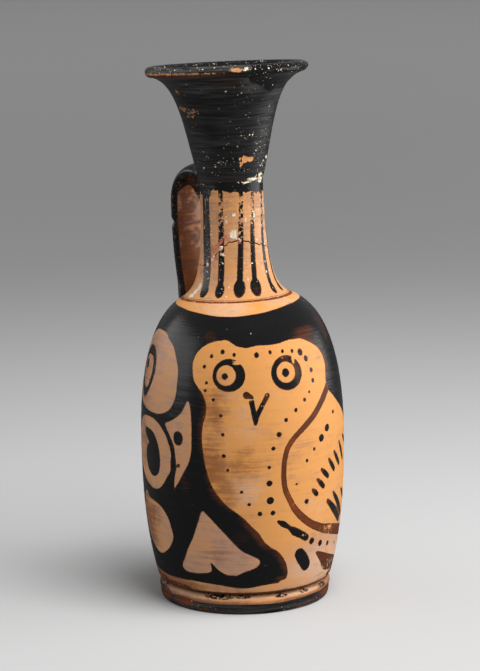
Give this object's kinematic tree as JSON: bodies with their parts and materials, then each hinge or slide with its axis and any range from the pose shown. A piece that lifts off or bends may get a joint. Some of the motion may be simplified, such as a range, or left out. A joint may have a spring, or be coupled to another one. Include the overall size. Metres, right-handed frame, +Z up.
{
  "type": "pottery oil flask",
  "caption": "Small painted pottery oil flask: ovoid body on a disc foot, narrow leaning neck with a mended break, funnel mouth and one strap handle down to the shoulder.",
  "frame": {"origin": "centre of the foot's underside, at the surface that the flask stands on", "axes": "+Z up along the body's axis, +Y towards the handle, -Y towards the painted front"},
  "size_m": [0.0604, 0.0605, 0.1605],
  "materials": {
    "painted_clay": "orange fired clay, burnished, with painted black gloss",
    "black_gloss": "fired black gloss slip, worn to brown clay at the edges",
    "mend_fill": "matt cream plaster fill"
  },
  "bodies": {
    "root": {"foot": "painted_clay", "body": "painted_clay", "neck_lower": "painted_clay", "neck_upper": "painted_clay", "neck_break_fill": "mend_fill", "mouth_seam_fill": "mend_fill", "handle_break_fill": "mend_fill", "mouth": "black_gloss", "handle_upper": "black_gloss", "handle_lower": "black_gloss"}
  },
  "joints": []
}
